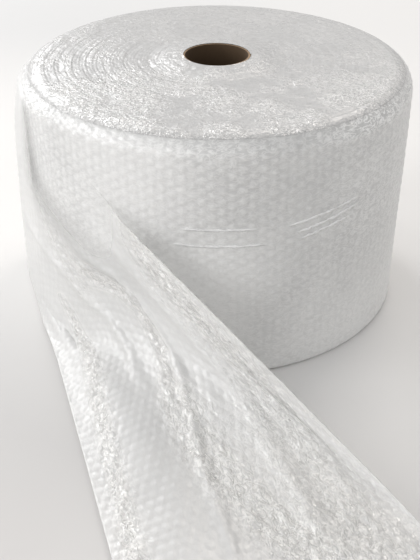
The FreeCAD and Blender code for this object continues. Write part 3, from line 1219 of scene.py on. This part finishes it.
@dataclass
class LooseWeb:
    """The loose end of the web, from where the outer turn slackens to its cut end.

    Attributes:
        sizes: the roll's sizes.
        bubbles: the rows of bubbles.
        back_rows: rows of poles on the slack outer turn.
        front_rows: steps between rows of poles past the leaving point.
        row_points: points that a row is first worked out with.
        measured_points: points that the web's length is measured with.
        along_cells: faces along the web.
        across_cells: faces across it.
        ridges: soft folds that stand up.
        crumpled: bands of crumpled film, which get painted glints and painted shade. Their height is how
            crumpled they are.
        calm: how crumpled the rest is.
        cover: how much of the calm film shows.
        crumpled_cover: how much of the rest of the way crumpled film goes.
        under_share: how much of that the under side shows.
        taut: how much of the hollow beside the raised fold the web spans.
        span_across: distances across the web between which it does.
        span_along: distances along the web where it starts and fully does.
        melt_across: distances across the web where it starts to melt into the roll and fully does.
        melt_along: distances along the web between which it does.
        crown: height of the bubbles on the upper side.
        calm_crown: share of that in calm film.
        belly: height of the bubbles on the under side.
        skin: thickness of the film between bubbles.
        fold: height of the small folds in crumpled film.
        fold_length: length of those.
        fold_drawn: how much they are drawn out along the web, below 1.
        sway: height of the slow swellings, which also lift the whole web.
        sway_lengths: lengths of the broad swellings and of the narrow ones.
        sway_shares: shares of the height that they have.
        sway_slant: how much the narrow ones lean.
        hug_near: gaps from the roll over which the web counts as lying close.
        hug_across: distances across the web above which it can.
        hug_pressed: how far the under side's bubbles are pressed flat there.
        hug_sink: how far the web that lies close sinks towards the roll.
        edge_sink: how much further its upper edge sinks.
        edge_across: distances across the web where that starts and is full.
    """

    sizes: RollSizes = field(default_factory=RollSizes)
    bubbles: Bubbles = field(default_factory=Bubbles)
    back_rows: int = 5
    front_rows: int = 13
    row_points: int = 401
    measured_points: int = 1501
    along_cells: int = 343
    across_cells: int = 125
    ridges: tuple[Ridge, ...] = (
        Ridge(((0.37, 0.185), (0.44, 0.195), (0.50, 0.181), (0.55, 0.157), (0.65, 0.128), (0.78, 0.11)),
              0.003, 0.007),
        Ridge(((0.30, 0.25), (0.45, 0.235), (0.55, 0.215), (0.65, 0.205), (0.78, 0.20)), 0.004, 0.012),
        Ridge(((0.20, 0.12), (0.30, 0.125), (0.42, 0.12), (0.52, 0.10)), 0.003, 0.009),
    )
    crumpled: tuple[Ridge, ...] = (
        Ridge(((0.34, 0.075), (0.40, 0.052), (0.50, 0.043), (0.55, 0.038), (0.64, 0.031), (0.80, 0.018)),
              1.0, 0.012),
        Ridge(((0.375, 0.16), (0.435, 0.178), (0.466, 0.18), (0.502, 0.161), (0.547, 0.137), (0.60, 0.128)),
              1.0, 0.013),
        Ridge(((0.58, 0.135), (0.65, 0.135), (0.70, 0.143), (0.80, 0.175)), 1.2, 0.024),
        Ridge(((0.46, 0.29), (0.50, 0.275), (0.56, 0.262), (0.62, 0.26)), 1.0, 0.035),
        Ridge(((0.62, 0.24), (0.68, 0.235), (0.90, 0.23)), 0.8, 0.055),
        Ridge(((0.28, 0.19), (0.34, 0.15), (0.38, 0.13)), 0.35, 0.03),
    )
    calm: float = 0.15
    cover: float = 0.62
    crumpled_cover: float = 0.4
    under_share: float = 0.35
    taut: float = 0.65
    span_across: tuple[float, float, float, float] = (0.0, 0.05, 0.24, 0.30)
    span_along: tuple[float, float] = (0.36, 0.44)
    melt_across: tuple[float, float] = (0.15, 0.235)
    melt_along: tuple[float, float, float, float] = (0.22, 0.28, 0.37, 0.50)
    crown: float = 0.0013
    calm_crown: float = 0.15
    belly: float = 0.0030
    skin: float = 0.0006
    fold: float = 0.0015
    fold_length: float = 0.0070
    fold_drawn: float = 0.5
    sway: float = 0.0012
    sway_lengths: tuple[float, float] = (0.05, 0.022)
    sway_shares: tuple[float, float] = (0.5, 0.3)
    sway_slant: float = 0.7
    hug_near: tuple[float, float] = (0.003, 0.012)
    hug_across: tuple[float, float] = (0.16, 0.29)
    hug_pressed: float = 0.75
    hug_sink: float = 0.0040
    edge_sink: float = 0.0034
    edge_across: tuple[float, float] = (0.276, 0.298)
    side_way: Array = field(init=False)
    forward: Array = field(init=False)
    line: float = field(init=False)
    length: float = field(init=False)
    hug: float = field(init=False)
    wrap: float = field(init=False)
    run_off: float = field(init=False)

    def __post_init__(self) -> None:
        """Work out the line that the upper edge takes."""
        size = self.sizes
        leave = size.leave
        self.side_way = np.array([-math.cos(leave), -math.sin(leave)])
        self.forward = np.array([self.side_way[1], -self.side_way[0]])
        self.line = size.radius + size.line_gap
        self.length = size.landing + size.lying
        self.hug = size.radius + size.lie_gap + (self.length / self.front_rows) ** 2 / (6.0 * size.radius)
        side = size.width - self.line
        distance = math.hypot(size.landing, side)
        self.wrap = math.atan2(side, size.landing) + math.asin(self.hug / distance)
        self.run_off = self.hug * math.sin(self.wrap)

    def edge_distance(self, run: float) -> float:
        """Measure along the upper edge, seen from above.

        Args:
            run: forward distance.

        Returns:
            The distance along the edge up to there.
        """
        if run < self.run_off:
            return self.hug * math.asin(run / self.hug)
        return self.hug * self.wrap + (run - self.run_off) / math.cos(self.wrap)

    def upper_edge(self, run: float) -> tuple[float, float]:
        """Place the upper edge.

        Args:
            run: forward distance.

        Returns:
            Its distance from the floor line and its height.
        """
        size = self.sizes
        if run < self.run_off:
            offset = self.line - math.sqrt(self.hug ** 2 - run ** 2)
        else:
            offset = self.line - self.hug * math.cos(self.wrap) + (run - self.run_off) * math.tan(self.wrap)
        start = size.edge_start
        fallen = (self.edge_distance(run) - start) / (self.edge_distance(size.landing) - start)
        height = float(soft_min(size.width * (1.0 - fallen), size.width, size.landing_blend))
        offset = float(soft_min(offset, size.width, size.landing_blend))
        return offset, -float(soft_min(-height, 0.0, size.landing_blend))

    def front_row(self, run: float, share: Array) -> Array:
        """Place a row of the web past the leaving point.

        Args:
            run: forward distance.
            share: shares of the way up the row.

        Returns:
            The row's points.
        """
        size = self.sizes
        offset, height = self.upper_edge(run)
        folded = float(smooth_step(np.array(run), size.fold_start, size.fold_full))
        corner = (offset * folded, height * (1.0 - folded))
        keep = size.fold_share
        before = (corner[0] * keep, corner[1] * keep)
        after = (offset + (corner[0] - offset) * keep, height + (corner[1] - height) * keep)
        poles = [(0.0, 0.0), before, after, (offset, height)]
        weights = [math.comb(3, n) * share ** n * (1.0 - share) ** (3 - n) for n in range(4)]
        side = sum(weight * pole[0] for weight, pole in zip(weights, poles))
        lift = sum(weight * pole[1] for weight, pole in zip(weights, poles))
        crest = np.sin(math.pi * np.minimum(1.0, side / offset / size.ridge_share)) ** 2
        rising = smooth_step(np.array(run), size.ridge_start, size.ridge_full)
        fading = 1.0 - smooth_step(np.array(run), size.ridge_full, self.length)
        lift = lift + size.ridge_height * crest * rising * fading
        for start, end in (size.high_crease, size.low_crease):
            middle = start + (end - start) * run / self.length
            raised = float(smooth_step(np.array(run), 0.0, size.crease_start))
            off = (share * size.width - middle) / size.crease_spread
            lift = lift + size.crease_height * raised * np.exp(-off ** 2)
        place = self.forward[None] * run + self.side_way[None] * (side - self.line)[:, None]
        return self.slumped(np.column_stack([place, lift]))

    def slumped(self, row: Array) -> Array:
        """Draw a row in over the rounding of the top end, where it is that high.

        Args:
            row: the row's points.

        Returns:
            The points, drawn in and lowered.
        """
        size = self.sizes
        rise = np.clip(row[:, 2] - size.width + size.rim, 0.0, size.rim)
        drawn_in = size.rim - np.sqrt(size.rim ** 2 - rise ** 2)
        reach = np.hypot(row[:, 0], row[:, 1])
        keep = ((reach - drawn_in) / reach)[:, None]
        return np.column_stack([row[:, :2] * keep, row[:, 2] - size.film * rise / size.rim])

    def back_row(self, turn: float, share: Array) -> Array:
        """Place a row of the slack outer turn.

        Args:
            turn: the angle before the leaving point, below 0.
            share: shares of the way up the row.

        Returns:
            The row's points.
        """
        size = self.sizes
        begin = -size.peel_back
        loose = float(smooth_step(np.array(turn), begin, begin / 3.0))
        stand_off = min(self.line / math.cos(turn) - size.radius, size.slack) * loose
        buried = 2.0 * size.film * (1.0 - float(smooth_step(np.array(turn), begin, begin * 0.8)))
        reach = self.hug - buried + max(0.0, stand_off - size.lie_gap) * (1.0 - share ** 3)
        tuck = size.tuck * (1.0 - loose)
        height = tuck + (size.width - 2.0 * tuck) * share
        angle = size.leave + turn
        return self.slumped(np.column_stack([reach * math.cos(angle), reach * math.sin(angle), height]))

    def even(self, row: Array) -> Array:
        """Cut a row into points at equal distances.

        Args:
            row: the row's points.

        Returns:
            The same line with the web's number of points across it.
        """
        steps = np.linalg.norm(np.diff(row, axis=0), axis=1)
        measure = np.concatenate([[0.0], np.cumsum(steps)])
        wanted = np.linspace(0.0, measure[-1], self.across_cells + 1)
        return np.column_stack([np.interp(wanted, measure, row[:, axis]) for axis in range(3)])

    def weights(self, count: int, spots: Array) -> Array:
        """Weigh the poles of a clamped cubic spline.

        Args:
            count: how many poles it has.
            spots: places along it, from 0 to 1.

        Returns:
            One row of weights for each spot.
        """
        spans = count - 3
        knots = np.concatenate([[0.0] * 3, np.linspace(0.0, 1.0, spans + 1), [1.0] * 3])
        spots = np.clip(spots, 0.0, 1.0 - 1e-9)[:, None]
        basis = ((spots >= knots[:-1]) & (spots < knots[1:])).astype(float)
        for degree in range(1, 4):
            size = len(knots) - 1 - degree
            first, last = knots[:size], knots[degree:degree + size]
            after, ahead = knots[1:size + 1], knots[degree + 1:degree + 1 + size]
            before, behind = last > first, ahead > after
            left = np.where(before, (spots - first) / np.where(before, last - first, 1.0), 0.0)
            right = np.where(behind, (ahead - spots) / np.where(behind, ahead - after, 1.0), 0.0)
            basis = left * basis[:, :size] + right * basis[:, 1:size + 1]
        return basis

    def underside(self) -> tuple[Array, Array, Array]:
        """Place the web's underside.

        Returns:
            Its points, and for each the distance along the web and across it.
        """
        share = np.linspace(0.0, 1.0, self.row_points)
        turns = [-self.sizes.peel_back * (1.0 - n / self.back_rows) for n in range(self.back_rows)]
        runs = [self.length * n / self.front_rows for n in range(self.front_rows + 1)]
        rows = [self.even(self.back_row(turn, share)) for turn in turns]
        rows += [self.even(self.front_row(run, share)) for run in runs]
        poles = np.array(rows)
        spots = np.linspace(0.0, 1.0, self.measured_points)
        middle = self.weights(len(rows), spots) @ poles[:, self.across_cells // 2]
        measure = np.concatenate([[0.0], np.cumsum(np.linalg.norm(np.diff(middle, axis=0), axis=1))])
        wanted = np.linspace(0.0, measure[-1], self.along_cells + 1)
        chosen = self.weights(len(rows), np.interp(wanted, measure, spots))
        points = np.einsum("vr,rui->vui", chosen, poles)
        across = np.linspace(0.0, self.sizes.width, self.across_cells + 1)
        along, across = np.meshgrid(wanted, across, indexing="ij")
        return points, along, across

    def spanned(self, heights: Array, across: Array) -> Array:
        """Find how far the taut web hangs over the hollow beside its raised fold.

        Args:
            heights: heights of the web's points.
            across: their distances across the web.

        Returns:
            The rise at each point, 0 outside the hollow.
        """
        rise = np.zeros_like(heights)
        for row, (levels, places) in enumerate(zip(heights, across)):
            hull: list[int] = []
            for spot in range(len(levels)):
                while len(hull) > 1:
                    first, last = hull[-2], hull[-1]
                    slope = (levels[spot] - levels[first]) / (places[spot] - places[first])
                    if levels[last] > levels[first] + slope * (places[last] - places[first]):
                        break
                    hull.pop()
                hull.append(spot)
            rise[row] = np.interp(places, places[hull], levels[hull]) - levels
        return self.taut * rise * plateau(across, *self.span_across)

    def build(self) -> None:
        """Build the web as one closed thin piece."""
        points, along, across = self.underside()
        size = self.sizes
        points[..., 2] += self.spanned(points[..., 2], across) * smooth_step(along, *self.span_along)
        crumple = np.clip(self.calm + sum(band.rise(along, across) for band in self.crumpled), 0.0, 1.0)
        over, under = self.skins(points, along, across, crumple)
        loop = np.concatenate([over, under[:, ::-1], over[:, :1]], axis=1)
        total, whole = float(along.max()), 2.0 * size.width
        last = np.full_like(across[:, :1], whole)
        side = np.concatenate([across, whole - across[:, ::-1], last], axis=1) / whole
        ahead = np.repeat(along[:, :1], side.shape[1], axis=1) / total
        spread = np.stack([ahead, side], axis=2)
        piece = grid_piece("loose_web", loop.transpose(1, 0, 2), spread.transpose(1, 0, 2),
                           self.marks(along, across, crumple))
        close_seams(piece)
        # Crumpled film gets painted shade in its hollows and painted glints on its sharp folds.
        finish = FilmFinish("loose_web_film", total, whole, light=(0.85, 0.85, 0.84), deep=(0.74, 0.74, 0.74),
                            gap=(0.70, 0.685, 0.665), painted_glint=(0.99, 0.98, 0.955), shine=2.2, gloss=0.06,
                            crinkle=1.8, drawn=0.6, weld=0.12, dimple=0.25, inner=0.05, mirrored=True)
        dress(piece, finish.make(), "bubble_wrap")

    def skins(self, points: Array, along: Array, across: Array, crumple: Array) -> tuple[Array, Array]:
        """Place the web's two sides.

        Args:
            points: points of the flat web, without bubbles.
            along: their distances along the web.
            across: their distances across it.
            crumple: how crumpled it is there.

        Returns:
            The points of the upper side and those of the under side, which meet at both ends.
        """
        size = self.sizes
        normal = np.cross(np.gradient(points, axis=0), np.gradient(points, axis=1))
        normal /= np.linalg.norm(normal, axis=2, keepdims=True)
        domes = self.bubbles.rise(along, across)
        gap = np.hypot(points[..., 0], points[..., 1]) - size.radius
        near, far = self.hug_near
        close = (1.0 - smooth_step(gap, near, far)) * smooth_step(across, *self.hug_across)
        slow = Crinkle(21).at(along, across, self.sway_lengths[0]) * self.sway_shares[0]
        leaning = along + across * self.sway_slant
        slow = slow + Crinkle(22).at(leaning, across, self.sway_lengths[1]) * self.sway_shares[1]
        sink = close * (self.hug_sink + self.edge_sink * smooth_step(across, *self.edge_across))
        level = size.film + self.sway * slow + self.sway - sink
        level = level + sum(ridge.rise(along, across) for ridge in self.ridges)
        folds = Crinkle(23).at(along * self.fold_drawn, across, self.fold_length)
        full = self.calm_crown + (1.0 - self.calm_crown) * crumple
        top = level + self.crown * domes * full + self.fold * folds * crumple
        bottom = level - self.skin - self.belly * domes * (1.0 - self.hug_pressed * close)
        over, under = points + normal * top[..., None], points + normal * bottom[..., None]
        under[0], under[-1] = over[0], over[-1]
        under[..., 2] = np.maximum(under[..., 2], 0.0)
        return over, under

    def marks(self, along: Array, across: Array, crumple: Array) -> dict[str, Array]:
        """Say how crumpled the web is and how much of it shows.

        Args:
            along: distances along the web.
            across: distances across it.
            crumple: how crumpled it is there.

        Returns:
            The marks of the closed piece's corners, by name.
        """
        melted = smooth_step(across, *self.melt_across) * plateau(along, *self.melt_along)
        cover = (self.cover + (1.0 - self.cover) * self.crumpled_cover * crumple) * (1.0 - melted)
        marks = {name: np.concatenate([values, values[:, ::-1], values[:, :1]], axis=1).T
                 for name, values in (("crumple", crumple), ("cover", cover))}
        marks["cover"][across.shape[1]:-1] *= self.under_share
        return marks


@dataclass
class PaperTube:
    """The board tube in the middle of the roll.

    Attributes:
        node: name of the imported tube.
        finish: its finish.
    """

    node: str = "cardboard_core"
    finish: BoardFinish = BoardFinish("spiral_board")

    def build(self, frame: dict[str, Any]) -> None:
        """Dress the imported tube.

        Args:
            frame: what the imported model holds.
        """
        material = self.finish.make()
        for place in frame["nodes"][self.node].material_slots:
            place.material = material
        log.info("%s: dressed", self.node)


def main() -> None:
    """Build every piece in order and report it."""
    logging.basicConfig(level=logging.INFO, format="%(message)s")
    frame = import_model()
    bpy.context.scene.view_settings.view_transform = "Standard"
    Studio().build()
    PaperTube().build(frame)
    WoundTurns().build()
    LooseWeb().build()


if __name__ == "__main__":
    main()
